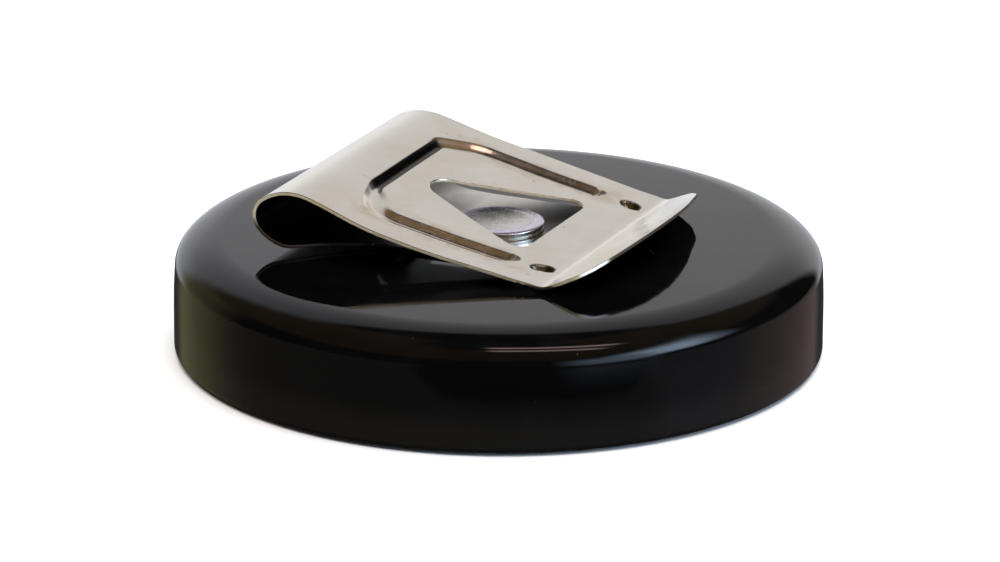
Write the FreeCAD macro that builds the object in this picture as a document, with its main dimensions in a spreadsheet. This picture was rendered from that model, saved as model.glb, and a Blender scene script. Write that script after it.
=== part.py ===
import FreeCAD, Part
import Sketcher
import math
import os
import sys

# Hand-held magnetic security tag detacher.
# A round gloss puck with a riveted spring belt clip on top, and a magnet pack
# with a tag nest in its underside. Millimetres. Z is up, the origin is the
# centre of the footprint, and +X runs along the clip towards its lip.

V = FreeCAD.Vector
doc = FreeCAD.newDocument("tag_detacher")
sheet = doc.addObject("Spreadsheet::Sheet", "Dims")

SIZES = [
    # case
    ("case_r", 32.0), ("rim_z", 0.2), ("rim_round", 0.6), ("case_top", 11.72),
    ("shoulder_w", 5.0), ("shoulder_z", 11.55), ("shoulder_drop", 2.95), ("corner_round", 1.9),
    ("wall", 2.0), ("roof_under", 9.9), ("ledge_z", 2.0), ("ledge_w", 0.6),
    ("rivet_bore", 2.4), ("recess_r", 5.2), ("recess_z", 11.5), ("boss_r", 2.6), ("boss_ring", 25.8), ("pilot_r", 1.0), ("pilot_deep", 5.5),
    # cover and what is on it
    ("cover_gap", 0.15), ("cover_low", 0.3), ("nest_r", 10.0), ("nest_floor", 3.0),
    ("liner_t", 0.4), ("flange_r", 11.9), ("grip_in", 15.1), ("grip_out", 19.9), ("grip_top", 0.9),
    ("groove_gap", 0.1), ("screw_clear", 1.15), ("head_bore", 2.0), ("head_seat", 1.2),
    ("screw_r", 0.95), ("screw_head", 1.85), ("screw_tip", 6.6), ("cross_w", 0.22), ("cross_len", 1.0),
    # magnet pack
    ("cup_r", 20.9), ("cup_wall", 1.1), ("cup_low", 2.3), ("pack_top", 7.0), ("cup_top", 8.2), ("cup_hole", 3.4),
    ("ring_in", 11.6), ("ring_out", 19.7), ("ring_low", 2.4), ("core_r", 8.9), ("core_low", 3.5),
    ("spacer_in", 9.0), ("spacer_out", 11.5), ("carrier_in", 21.0), ("carrier_out", 22.9),
    ("carrier_low", 2.05), ("pad_low", 8.25), ("pad_top", 9.85), ("pad_in", 7.0),
    # rivet stack
    ("shank_r", 1.5), ("rivet_head_r", 4.44), ("head_low", 12.45), ("head_top", 12.99), ("dish_r", 3.35), ("dish_deep", 0.14),
    ("tail_r", 2.6), ("tail_low", 7.9), ("tail_top", 8.55), ("bush_in", 1.6), ("bush_out", 2.35), ("bush_top", 11.45),
    ("bush_low", 9.45), ("bush_flange", 4.2), ("back_r", 4.4), ("back_low", 9.0), ("back_top", 9.4),
    ("cone_in", 1.7), ("cone_out", 3.9), ("cone_low", 8.62), ("cone_rise", 0.16), ("cone_t", 0.2),
    ("washer_low", 12.12), ("fibre_r", 5.0), ("fibre_low", 11.51), ("fibre_top", 11.71),
    # clip
    ("sheet_t", 0.36), ("seat_low", 11.74), ("seat_x", -5.2), ("lift", 0.04), ("cut_gap", 0.03),
    ("nose_x", -19.52), ("nose_z", 15.15), ("nose_r", 2.15), ("crest_x", -15.3),
    ("low_r", 5.096), ("low_c", 17.246), ("top_r", 5.52), ("top_c", 12.49),
    ("clip_half_w", 15.15), ("clip_half_mid", 15.9), ("clip_half_w_end", 15.1), ("lip_half_w", 14.3), ("leaf_hole", 1.55),
    ("tongue_half_w", 9.8), ("tongue_x", -8.7), ("tongue_start", -16.1), ("tongue_end", 6.4),
    ("ax_a", -13.6), ("az_a", 17.81), ("ax_b", -11.6), ("az_b", 17.24), ("ax_c", -8.0), ("az_c", 16.09),
    ("ax_d", -3.0), ("az_d", 14.92), ("ax_e", 3.0), ("az_e", 13.73), ("ax_f", 11.4), ("az_f", 12.25),
    ("ax_g", 14.5), ("az_g", 13.57), ("ax_h", 17.7), ("az_h", 15.28),
    ("win_apex_x", -5.96), ("win_apex_y", 2.2), ("win_apex_r", 2.49),
    ("win_side_x", 4.13), ("win_side_y", 7.5), ("win_corner_r", 1.38), ("win_base_x", 6.1), ("win_base_y", 6.28),
]


class Q:
    """A length that is known both as a sheet expression and as a number."""

    def __init__(self, text, value):
        self.text, self.value = text, float(value)

    @staticmethod
    def of(x):
        return x if isinstance(x, Q) else Q(repr(float(x)) if x >= 0 else "(%r)" % float(x), x)

    def mix(self, other, sign, value):
        return Q("(%s %s %s)" % (self.text, sign, other.text), value)

    def __add__(self, other):
        o = Q.of(other)
        return self.mix(o, "+", self.value + o.value)

    def __radd__(self, other):
        return Q.of(other) + self

    def __sub__(self, other):
        o = Q.of(other)
        return self.mix(o, "-", self.value - o.value)

    def __rsub__(self, other):
        return Q.of(other) - self

    def __mul__(self, other):
        o = Q.of(other)
        return self.mix(o, "*", self.value * o.value)

    def __rmul__(self, other):
        return Q.of(other) * self

    def __truediv__(self, other):
        o = Q.of(other)
        return self.mix(o, "/", self.value / o.value)

    def __neg__(self):
        return Q("(0 - %s)" % self.text, -self.value)


def root(q):
    return Q("sqrt(%s)" % q.text, math.sqrt(q.value))


for row, (alias, value) in enumerate(SIZES, start=1):
    sheet.set("A%d" % row, alias)
    sheet.set("B%d" % row, str(value))
    sheet.setAlias("B%d" % row, alias)
doc.recompute()
D = {alias: Q("Dims.%s" % alias, value) for alias, value in SIZES}

NODES = {}


def new_body(label):
    body = doc.addObject("PartDesign::Body", label)
    body.Label = label
    body.Placement = FreeCAD.Placement(V(0, 0, 0), FreeCAD.Rotation())
    NODES[label] = body
    return body


def origin_plane(body, role):
    for feature in body.Origin.OriginFeatures:
        if feature.Role == role:
            return feature
    raise RuntimeError("no plane " + role)


def draw(body, name, role, loops, height=None):
    """Sketch closed loops. A loop is ('circle', x, y, r) or a list of vertices
    (x, y) or (x, y, radius, turn), where radius and turn shape the edge that
    leaves the vertex: turn is 1 for counter-clockwise, -1 for clockwise."""
    sk = body.newObject("Sketcher::SketchObject", name)
    sk.AttachmentSupport = [(origin_plane(body, role), "")]
    sk.MapMode = "FlatFace"
    if height is not None:
        sk.AttachmentOffset = FreeCAD.Placement(V(0, 0, height.value), FreeCAD.Rotation())
        sk.setExpression("AttachmentOffset.Base.z", height.text)
    bound = []

    def pin(geo, pos, x, y):
        for kind, axis, q in (("DistanceX", -2, Q.of(x)), ("DistanceY", -1, Q.of(y))):
            if abs(q.value) < 1e-9:
                sk.addConstraint(Sketcher.Constraint("PointOnObject", geo, pos, axis))
            else:
                i = sk.addConstraint(Sketcher.Constraint(kind, -1, 1, geo, pos, q.value))
                bound.append((i, q))

    for loop in loops:
        if loop[0] == "circle":
            _, x, y, r = loop
            x, y, r = Q.of(x), Q.of(y), Q.of(r)
            g = sk.addGeometry(Part.Circle(V(x.value, y.value, 0), V(0, 0, 1), r.value), False)
            pin(g, 3, x, y)
            bound.append((sk.addConstraint(Sketcher.Constraint("Radius", g, r.value)), r))
            continue
        n = len(loop)
        ends = []
        for i, vertex in enumerate(loop):
            a = V(Q.of(vertex[0]).value, Q.of(vertex[1]).value, 0)
            nxt = loop[(i + 1) % n]
            b = V(Q.of(nxt[0]).value, Q.of(nxt[1]).value, 0)
            if len(vertex) == 2:
                g = sk.addGeometry(Part.LineSegment(a, b), False)
                ends.append((g, 1, 2))
                continue
            r, turn = Q.of(vertex[2]), vertex[3]
            half = (b - a).Length / 2.0
            if r.value < half:
                raise RuntimeError("%s: edge %d: radius %.4f under %.4f" % (name, i, r.value, half))
            along = (b - a) / (b - a).Length
            left = V(-along.y, along.x, 0)
            centre = (a + b) / 2.0 + left * (turn * math.sqrt(r.value ** 2 - half ** 2))
            first, last = (a, b) if turn > 0 else (b, a)
            a0 = math.atan2(first.y - centre.y, first.x - centre.x)
            a1 = math.atan2(last.y - centre.y, last.x - centre.x)
            while a1 <= a0:
                a1 += 2 * math.pi
            g = sk.addGeometry(Part.ArcOfCircle(Part.Circle(centre, V(0, 0, 1), r.value), a0, a1), False)
            bound.append((sk.addConstraint(Sketcher.Constraint("Radius", g, r.value)), r))
            ends.append((g, 1, 2) if turn > 0 else (g, 2, 1))
        for i in range(n):
            g, start, _ = ends[i]
            pg, _, pend = ends[i - 1]
            sk.addConstraint(Sketcher.Constraint("Coincident", pg, pend, g, start))
            pin(g, start, loop[i][0], loop[i][1])
    for i, q in bound:
        sk.setExpression("Constraints[%d]" % i, q.text)
    doc.recompute()
    return sk


def revolve(body, loop, name):
    sk = draw(body, name + "_profile", "XZ_Plane", [loop])
    rev = body.newObject("PartDesign::Revolution", name)
    rev.Profile = sk
    rev.ReferenceAxis = (sk, ["V_Axis"])
    rev.Angle = 360.0
    doc.recompute()
    return rev


def pad(body, name, role, loops, length, height=None, both=False):
    sk = draw(body, name + "_sketch", role, loops, height)
    p = body.newObject("PartDesign::Pad", name)
    p.Profile = sk
    p.Length = length.value
    p.setExpression("Length", length.text)
    if both:
        p.Midplane = True
    doc.recompute()
    return p


def pocket(body, name, loops, height, length, up=True):
    """Cut from a sketch at a height, upwards (up) or downwards."""
    before = body.Shape.Volume
    sk = draw(body, name + "_sketch", "XY_Plane", loops, height)
    c = body.newObject("PartDesign::Pocket", name)
    c.Profile = sk
    c.Length = length.value
    c.setExpression("Length", length.text)
    c.Reversed = bool(up)
    doc.recompute()
    if not body.Shape.Volume < before - 1e-4:
        raise RuntimeError("%s cut nothing" % name)
    return c


def ring(label, r_in, r_out, low, top, bevel=0.0):
    """A plain turned ring or disc, with bevelled outer edges."""
    body = new_body(label)
    b = Q.of(bevel)
    loop = [(r_in, low)]
    if bevel:
        loop += [(r_out - b, low), (r_out, low + b), (r_out, top - b), (r_out - b, top)]
    else:
        loop += [(r_out, low), (r_out, top)]
    loop += [(r_in, top)]
    revolve(body, loop, label + "_turned")
    return body


def around(radius, count, phase):
    for i in range(count):
        t = math.radians(phase + i * 360.0 / count)
        yield radius * math.cos(t), radius * math.sin(t)


# ---------------------------------------------------------------- case
case = new_body("top_shell")
R = D["case_r"]
inner = R - D["wall"]
ra = R - D["shoulder_w"]
z_wall = D["shoulder_z"] - D["shoulder_drop"]
r1 = D["corner_round"]
r2 = (D["shoulder_w"] * D["shoulder_w"] + D["shoulder_drop"] * D["shoulder_drop"]
      - 2 * D["shoulder_w"] * r1) / (2 * (D["shoulder_drop"] - r1))
# the two shoulder arcs meet on the line through their centres
cx, cz = R - r1, z_wall
dx, dz = cx - ra, cz - (D["shoulder_z"] - r2)
dist = root(dx * dx + dz * dz)
jx, jz = cx + r1 * dx / dist, cz + r1 * dz / dist
crown = D["case_top"] - D["shoulder_z"]
r3 = (ra * ra + crown * crown) / (2 * crown)
edge_z = D["case_top"] - D["recess_r"] * D["recess_r"] / (2 * r3)
revolve(case, [
    (D["rivet_bore"], D["roof_under"]),
    (inner - 2.5, D["roof_under"]),
    (inner, D["roof_under"] - 1.9),
    (inner, D["ledge_z"]),
    (inner + D["ledge_w"], D["ledge_z"]),
    (inner + D["ledge_w"], D["rim_z"]),
    (R - D["rim_round"], D["rim_z"], D["rim_round"], 1),
    (R, D["rim_z"] + D["rim_round"]),
    (R, z_wall, r1, 1),
    (jx, jz, r2, 1),
    (ra, D["shoulder_z"], r3, 1),
    (D["recess_r"], edge_z),
    (D["recess_r"], D["recess_z"]),
    (D["rivet_bore"], D["recess_z"]),
], "shell_turned")
bosses = [("circle", x, y, D["boss_r"]) for x, y in around(D["boss_ring"], 3, 90.0)]
pad(case, "screw_bosses", "XY_Plane", bosses, D["roof_under"] - D["ledge_z"] + 0.3, D["ledge_z"])
pilots = [("circle", x, y, D["pilot_r"]) for x, y in around(D["boss_ring"], 3, 90.0)]
pocket(case, "screw_pilots", pilots, D["ledge_z"], D["pilot_deep"], up=True)

# ---------------------------------------------------------------- cover
cover = new_body("bottom_cover")
cover_r = inner + D["ledge_w"] - D["cover_gap"]
nest_bore = D["nest_r"] + D["liner_t"] + 0.08
g = D["groove_gap"]
revolve(cover, [
    (nest_bore, D["cover_low"] + 0.45),
    (D["flange_r"] + 0.15, D["cover_low"] + 0.45),
    (D["flange_r"] + 0.15, D["cover_low"]),
    (D["grip_in"] - g, D["cover_low"]),
    (D["grip_in"] - g, D["grip_top"]),
    (D["grip_out"] + g, D["grip_top"]),
    (D["grip_out"] + g, D["cover_low"]),
    (cover_r - 0.25, D["cover_low"]),
    (cover_r, D["cover_low"] + 0.25),
    (cover_r, D["ledge_z"]),
    (nest_bore, D["ledge_z"]),
], "cover_turned")
holes = [("circle", x, y, D["screw_clear"]) for x, y in around(D["boss_ring"], 3, 90.0)]
pocket(cover, "screw_holes", holes, D["cover_low"] - 0.1, Q.of(3.0), up=True)
seats = [("circle", x, y, D["head_bore"]) for x, y in around(D["boss_ring"], 3, 90.0)]
pocket(cover, "screw_seats", seats, D["cover_low"], D["head_seat"] - D["cover_low"], up=True)

ring("grip_ring", D["grip_in"], D["grip_out"], Q.of(0.0), D["grip_top"], 0.2)

liner = new_body("tag_nest_liner")
out = D["nest_r"] + D["liner_t"]
flange_low = D["cover_low"] + 0.02
revolve(liner, [
    (Q.of(0.0), D["nest_floor"]),
    (D["nest_r"] - 0.4, D["nest_floor"]),
    (D["nest_r"], D["nest_floor"] - 0.4),
    (D["nest_r"], flange_low + 0.2),
    (D["nest_r"] + 0.2, flange_low),
    (D["flange_r"], flange_low),
    (D["flange_r"], flange_low + D["liner_t"]),
    (out, flange_low + D["liner_t"]),
    (out, D["nest_floor"] + D["liner_t"] - 0.3),
    (out - 0.3, D["nest_floor"] + D["liner_t"]),
    (Q.of(0.0), D["nest_floor"] + D["liner_t"]),
], "liner_pressed")

# one screw is modelled, and set three times
screw = doc.addObject("PartDesign::Body", "screw_master")
screw.Label = "screw_master"
screw_low = D["cover_low"] + 0.12
revolve(screw, [
    (Q.of(0.0), screw_low),
    (D["screw_head"] - 0.2, screw_low),
    (D["screw_head"], screw_low + 0.2),
    (D["screw_head"], D["head_seat"] - 0.01),
    (D["screw_r"], D["head_seat"] - 0.01),
    (D["screw_r"], D["screw_tip"] - 0.5),
    (Q.of(0.2), D["screw_tip"]),
    (Q.of(0.0), D["screw_tip"]),
], "screw_turned")
w, ln = D["cross_w"], D["cross_len"]
pocket(screw, "cross_recess", [[
    (ln, -w), (ln, w), (w, w), (w, ln), (-w, ln), (-w, w),
    (-ln, w), (-ln, -w), (-w, -w), (-w, -ln), (w, -ln), (w, -w),
]], screw_low, Q.of(0.45), up=True)
copies = []
for x, y in around(D["boss_ring"], 3, 90.0):
    one = screw.Shape.copy()
    one.translate(V(x.value, y.value, 0))
    copies.append(one)
screws = doc.addObject("Part::Feature", "cover_screws")
screws.Label = "cover_screws"
screws.Shape = Part.makeCompound(copies)
screws.Placement = FreeCAD.Placement(V(0, 0, 0), FreeCAD.Rotation())
NODES["cover_screws"] = screws

# ---------------------------------------------------------------- magnet pack
cup = new_body("flux_cup")
revolve(cup, [
    (D["cup_hole"], D["pack_top"] + 0.02),
    (D["cup_r"] - D["cup_wall"], D["pack_top"] + 0.02),
    (D["cup_r"] - D["cup_wall"], D["cup_low"]),
    (D["cup_r"], D["cup_low"]),
    (D["cup_r"], D["cup_top"] - 0.8, 0.8, 1),
    (D["cup_r"] - 0.8, D["cup_top"]),
    (D["cup_hole"], D["cup_top"]),
], "cup_drawn")
ring("ring_magnet", D["ring_in"], D["ring_out"], D["ring_low"], D["pack_top"], 0.25)
ring("core_magnet", Q.of(0.0), D["core_r"], D["core_low"], D["pack_top"], 0.25)
ring("spacer_ring", D["spacer_in"], D["spacer_out"], D["core_low"], D["pack_top"])
carrier = new_body("magnet_carrier")
revolve(carrier, [
    (D["carrier_in"], D["carrier_low"]),
    (D["carrier_out"], D["carrier_low"]),
    (D["carrier_out"], D["pad_top"]),
    (D["carrier_in"] - 1.0, D["pad_top"]),
    (D["carrier_in"] - 1.0, D["pad_low"]),
    (D["carrier_in"], D["pad_low"]),
], "carrier_turned")
ring("foam_pad", D["pad_in"], D["carrier_in"] - 1.1, D["pad_low"], D["pad_top"])

# ---------------------------------------------------------------- rivet stack
bush = new_body("rivet_bush")
revolve(bush, [
    (D["bush_in"], D["bush_low"]),
    (D["bush_flange"], D["bush_low"]),
    (D["bush_flange"], D["roof_under"] - 0.04),
    (D["bush_out"], D["roof_under"] - 0.04),
    (D["bush_out"], D["bush_top"]),
    (D["bush_in"], D["bush_top"]),
], "bush_turned")
ring("backing_washer", D["bush_in"], D["back_r"], D["back_low"], D["back_top"], 0.08)
cone = new_body("spring_washer")
revolve(cone, [
    (D["cone_in"], D["cone_low"]),
    (D["cone_out"], D["cone_low"] + D["cone_rise"]),
    (D["cone_out"], D["cone_low"] + D["cone_rise"] + D["cone_t"]),
    (D["cone_in"], D["cone_low"] + D["cone_t"]),
], "cone_pressed")
rivet = new_body("clip_rivet")
revolve(rivet, [
    (Q.of(0.0), D["tail_low"]),
    (D["tail_r"] - 0.3, D["tail_low"]),
    (D["tail_r"], D["tail_low"] + 0.3),
    (D["tail_r"], D["tail_top"]),
    (D["shank_r"], D["tail_top"]),
    (D["shank_r"], D["head_low"]),
    (D["rivet_head_r"] - 0.05, D["head_low"]),
    (D["rivet_head_r"], D["head_low"] + 0.05),
    (D["rivet_head_r"], D["head_top"] - 0.12),
    (D["rivet_head_r"] - 0.12, D["head_top"]),
    (D["dish_r"] + 0.25, D["head_top"]),
    (D["dish_r"], D["head_top"] - D["dish_deep"]),
    (Q.of(0.0), D["head_top"] - D["dish_deep"]),
], "rivet_formed")
ring("rivet_washer", D["bush_in"], D["rivet_head_r"], D["washer_low"], D["head_low"] - 0.01, 0.05)
ring("friction_washer", D["bush_in"], D["fibre_r"], D["fibre_low"], D["fibre_top"])

# ---------------------------------------------------------------- clip
# One bent strip, cut in two nodes at the outermost line of its loop, where it flexes.
st = D["sheet_t"]
nr, nx, nz = D["nose_r"], D["nose_x"] + D["nose_r"], D["nose_z"]
crest_x, seat = D["crest_x"], D["seat_low"]


def tangent(centre_z, back):
    """Where the nose arc meets the long arc whose centre is under or over the crest, a distance back from its outside."""
    ex, ez = nx - crest_x, nz - centre_z
    e = root(ex * ex + ez * ez)
    return nx + (nr - back) * ex / e, nz + (nr - back) * ez / e


nil = Q.of(0.0)
lift = D["lift"]
level = root(1.0 - lift * lift)
jx, jz = crest_x - D["low_r"] * lift, D["low_c"] - D["low_r"] * level
ox, oz = tangent(D["low_c"], nil)
ix, iz = tangent(D["low_c"], st)
leaf = new_body("clip_base_leaf")
cut_low = nz - D["cut_gap"]
pad(leaf, "leaf_strip", "XZ_Plane", [[
    (D["nose_x"], cut_low, nr, 1),
    (ox, oz, D["low_r"], 1),
    (jx, jz),
    (D["seat_x"], seat),
    (D["tongue_end"], seat),
    (D["tongue_end"], seat + st),
    (D["seat_x"] + 0.01, seat + st),
    (jx + st * lift, jz + st * level, D["low_r"] - st, -1),
    (ix, iz, nr - st, -1),
    (D["nose_x"] + st, cut_low),
]], 2 * D["clip_half_w"], both=True)
hw, tw = D["clip_half_w"], D["tongue_half_w"]
far = Q.of(20.0)
pocket(leaf, "leaf_trim", [[
    (D["tongue_start"], s * hw), (D["tongue_start"] + 2.7, s * (hw - 2.25)), 
    (D["tongue_x"], s * tw), (D["tongue_end"] - 1.6, s * tw), (D["tongue_end"] - 0.5, s * (tw - 0.5)),
    (D["tongue_end"], s * (tw - 1.6)), (D["tongue_end"] + 2.0, s * (tw - 1.6)), (D["tongue_end"] + 2.0, s * far), (D["tongue_start"], s * far),
] for s in (1.0, -1.0)], seat - 1.0, Q.of(2.4), up=True)
pocket(leaf, "leaf_rivet_hole", [("circle", Q.of(0.0), Q.of(0.0), D["leaf_hole"])], seat - 1.0, Q.of(3.0), up=True)

arm = new_body("clip_spring_arm")
tops = [(D["ax_" + k], D["az_" + k]) for k in "abcdefgh"]
# the underside runs one sheet thickness below, measured square to the strip
under = []
for i, (x, z) in enumerate(tops):
    x0, z0 = tops[max(i - 1, 0)]
    x1, z1 = tops[min(i + 1, len(tops) - 1)]
    ex, ez = x1 - x0, z1 - z0
    e = root(ex * ex + ez * ez)
    under.append((x + st * ez / e, z - st * ex / e))
ux, uz = tangent(D["top_c"], nil)
vx, vz = tangent(D["top_c"], st)
crest = D["top_c"] + D["top_r"]
strip = [(D["nose_x"] + st, nz, nr - st, -1), (vx, vz, D["top_r"] - st, -1), (crest_x, crest - st)]
strip += under
strip += tops[::-1]
strip += [(crest_x, crest, D["top_r"], 1), (ux, uz, nr, 1), (D["nose_x"], nz)]
pad(arm, "arm_strip", "XZ_Plane", [strip], 2 * D["clip_half_mid"], both=True)
hwm, hwe, lw = D["clip_half_mid"], D["clip_half_w_end"], D["lip_half_w"]
xe, xt = D["ax_f"], D["ax_h"]
pocket(arm, "arm_trim", [[
    (Q.of(-21.0), s * hw), (Q.of(-14.0), s * hw), (Q.of(-9.0), s * (hwm - 0.32)), (Q.of(-5.0), s * (hwm - 0.02)), (Q.of(-1.0), s * (hwm - 0.02)),
    (Q.of(4.0), s * (hwm - 0.3)), (xe, s * hwe), (xe + 1.8, s * (hwe - 0.15)), (xt - 3.1, s * (lw + 0.3)), (xt - 2.2, s * (lw - 0.6)),
    (xt - 1.5, s * (lw - 1.8)), (xt - 0.95, s * (lw - 4.4)), (xt - 0.5, s * (lw - 6.8)), (xt - 0.12, s * (lw - 9.3)),
    (xt + 0.4, s * (lw - 12.3)), (xt + 3.0, s * (lw - 12.3)), (xt + 3.0, s * far), (Q.of(-21.0), s * far),
] for s in (1.0, -1.0)], seat - 3.0, Q.of(14.0), up=True)
wax, way, war = D["win_apex_x"], D["win_apex_y"], D["win_apex_r"]
wsx, wsy, wcr = D["win_side_x"], D["win_side_y"], D["win_corner_r"]
wbx, wby = D["win_base_x"], D["win_base_y"]
pocket(arm, "arm_window", [[
    (wax, -way), (wsx, -wsy, wcr, 1), (wbx, -wby), (wbx, wby, wcr, 1), (wsx, wsy), (wax, way, war, 1),
]], D["case_top"] - 1.0, Q.of(9.0), up=True)

# ---------------------------------------------------------------- checks and export
doc.recompute()
bad = []
for obj in doc.Objects:
    state = set(obj.State)
    if state & {"Invalid", "Error"}:
        bad.append("%s is %s" % (obj.Name, sorted(state)))
for label, obj in NODES.items():
    shape = obj.Shape
    if shape.isNull() or not shape.isValid() or shape.Volume <= 0:
        bad.append("%s has no valid shape" % label)
    want = 3 if label == "cover_screws" else 1
    if len(shape.Solids) != want:
        bad.append("%s has %d solids" % (label, len(shape.Solids)))
if bad:
    for line in bad:
        print(line)
    sys.exit(1)
os.makedirs("parts", exist_ok=True)
for label, obj in sorted(NODES.items()):
    obj.Shape.exportStep("parts/%s.step" % label)
    box = obj.Shape.BoundBox
    print("%-18s %9.2f mm3  x %.2f..%.2f  y %.2f..%.2f  z %.2f..%.2f" % (
        label, obj.Shape.Volume, box.XMin, box.XMax, box.YMin, box.YMax, box.ZMin, box.ZMax))
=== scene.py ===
import math
import bpy
import bmesh
import numpy as np
from mathutils import Matrix, Vector
from mathutils.geometry import delaunay_2d_cdt


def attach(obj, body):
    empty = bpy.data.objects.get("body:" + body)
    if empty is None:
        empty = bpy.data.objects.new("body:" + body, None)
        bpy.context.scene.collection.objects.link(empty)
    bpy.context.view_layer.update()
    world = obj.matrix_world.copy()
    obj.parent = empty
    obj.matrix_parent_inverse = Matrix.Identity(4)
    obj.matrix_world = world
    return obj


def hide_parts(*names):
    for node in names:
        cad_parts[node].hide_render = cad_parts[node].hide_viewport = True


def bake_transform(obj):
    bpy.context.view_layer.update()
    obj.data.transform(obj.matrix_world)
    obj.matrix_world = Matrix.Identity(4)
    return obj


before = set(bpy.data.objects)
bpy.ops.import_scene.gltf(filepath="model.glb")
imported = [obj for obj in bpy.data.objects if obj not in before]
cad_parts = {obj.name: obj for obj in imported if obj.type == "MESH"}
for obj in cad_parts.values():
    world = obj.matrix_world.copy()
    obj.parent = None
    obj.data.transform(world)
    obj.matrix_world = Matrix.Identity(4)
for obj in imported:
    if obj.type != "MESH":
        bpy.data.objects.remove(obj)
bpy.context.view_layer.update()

MM = 0.001
scene = bpy.context.scene
scene.view_settings.view_transform = "Standard"
scene.view_settings.look = "None"

# ------------------------------------------------------------------ camera
TARGET = Vector((0.0, 0.0, 6.2)) * MM
DIST = 602.44 * MM
RIGHT = Vector((0.9091137963, 0.4165033197, 0.0060901574)).normalized()
UP = Vector((-0.1389833863, 0.2895154755, 0.9470292539))
AZ, EL = math.radians(24.508), math.radians(18.765)
BACK_H = Vector((-math.sin(AZ), math.cos(AZ), 0.0))      # level direction, away from the camera
SIDE_H = Vector((math.cos(AZ), math.sin(AZ), 0.0))       # level direction, to the camera's right
cam_data = bpy.data.cameras.new("studio_camera")
cam_data.sensor_width = 36.0
cam_data.lens = 6115.5 * 36.0 / 1000.0
cam_data.clip_start = 0.01
cam_data.clip_end = 20.0
cam = bpy.data.objects.new("studio_camera", cam_data)
scene.collection.objects.link(cam)
fwd = UP.cross(RIGHT).normalized()
UP = RIGHT.cross(fwd).normalized()
look = Matrix((RIGHT, UP, -fwd)).transposed().to_4x4()
pos = Vector((math.sin(AZ) * math.cos(EL), -math.cos(AZ) * math.cos(EL), math.sin(EL))) * DIST + TARGET
cam.matrix_world = Matrix.Translation(pos) @ look
scene.camera = cam


# ------------------------------------------------------------------ node helpers
class Nodes:
    """A small shorthand for building a node tree."""

    def __init__(self, tree):
        self.tree = tree
        self.n = tree.nodes
        self.n.clear()

    def add(self, kind, **props):
        node = self.n.new(kind)
        for k, v in props.items():
            setattr(node, k, v)
        return node

    def link(self, a, b):
        self.tree.links.new(a, b)

    def put(self, socket, value):
        if value is None:
            return
        if isinstance(value, bpy.types.NodeSocket):
            self.link(value, socket)
        else:
            socket.default_value = value

    def math(self, op, a, b=None, c=None, clamp=False):
        node = self.add("ShaderNodeMath", operation=op, use_clamp=clamp)
        for i, v in enumerate((a, b, c)):
            if v is not None:
                self.put(node.inputs[i], v)
        return node.outputs[0]

    def ramp(self, value, lo, hi, out_lo=0.0, out_hi=1.0, smooth=True):
        node = self.add("ShaderNodeMapRange", interpolation_type="SMOOTHSTEP" if smooth else "LINEAR")
        node.clamp = True
        self.put(node.inputs["Value"], value)
        node.inputs["From Min"].default_value = lo
        node.inputs["From Max"].default_value = hi
        node.inputs["To Min"].default_value = out_lo
        node.inputs["To Max"].default_value = out_hi
        return node.outputs["Result"]

    def mix(self, fac, a, b):
        node = self.add("ShaderNodeMix", data_type="RGBA")
        self.put(node.inputs[0], fac)
        self.put(node.inputs[6], a)
        self.put(node.inputs[7], b)
        return node.outputs[2]

    def dot(self, vec, direction):
        node = self.add("ShaderNodeVectorMath", operation="DOT_PRODUCT")
        self.link(vec, node.inputs[0])
        node.inputs[1].default_value = direction
        return node.outputs["Value"]

    def scaled(self, vec, scale):
        node = self.add("ShaderNodeMapping")
        self.link(vec, node.inputs["Vector"])
        node.inputs["Scale"].default_value = scale
        return node.outputs["Vector"]

    def noise(self, vec, scale, detail=3.0, rough=0.55, distortion=0.0):
        node = self.add("ShaderNodeTexNoise")
        self.link(vec, node.inputs["Vector"])
        node.inputs["Scale"].default_value = scale
        node.inputs["Detail"].default_value = detail
        node.inputs["Roughness"].default_value = rough
        node.inputs["Distortion"].default_value = distortion
        return node.outputs["Fac"]

    def bump(self, height, strength, distance, normal=None):
        node = self.add("ShaderNodeBump")
        node.inputs["Strength"].default_value = strength
        node.inputs["Distance"].default_value = distance
        self.link(height, node.inputs["Height"])
        if normal is not None:
            self.link(normal, node.inputs["Normal"])
        return node.outputs["Normal"]


def rgb(r, g, b):
    return (r, g, b, 1.0)


def material(name):
    m = bpy.data.materials.new(name)
    m.use_nodes = True
    n = Nodes(m.node_tree)
    out = n.add("ShaderNodeOutputMaterial")
    p = n.add("ShaderNodeBsdfPrincipled")
    n.link(p.outputs[0], out.inputs["Surface"])
    co = n.add("ShaderNodeTexCoord").outputs["Object"]
    return m, n, p, co


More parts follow.
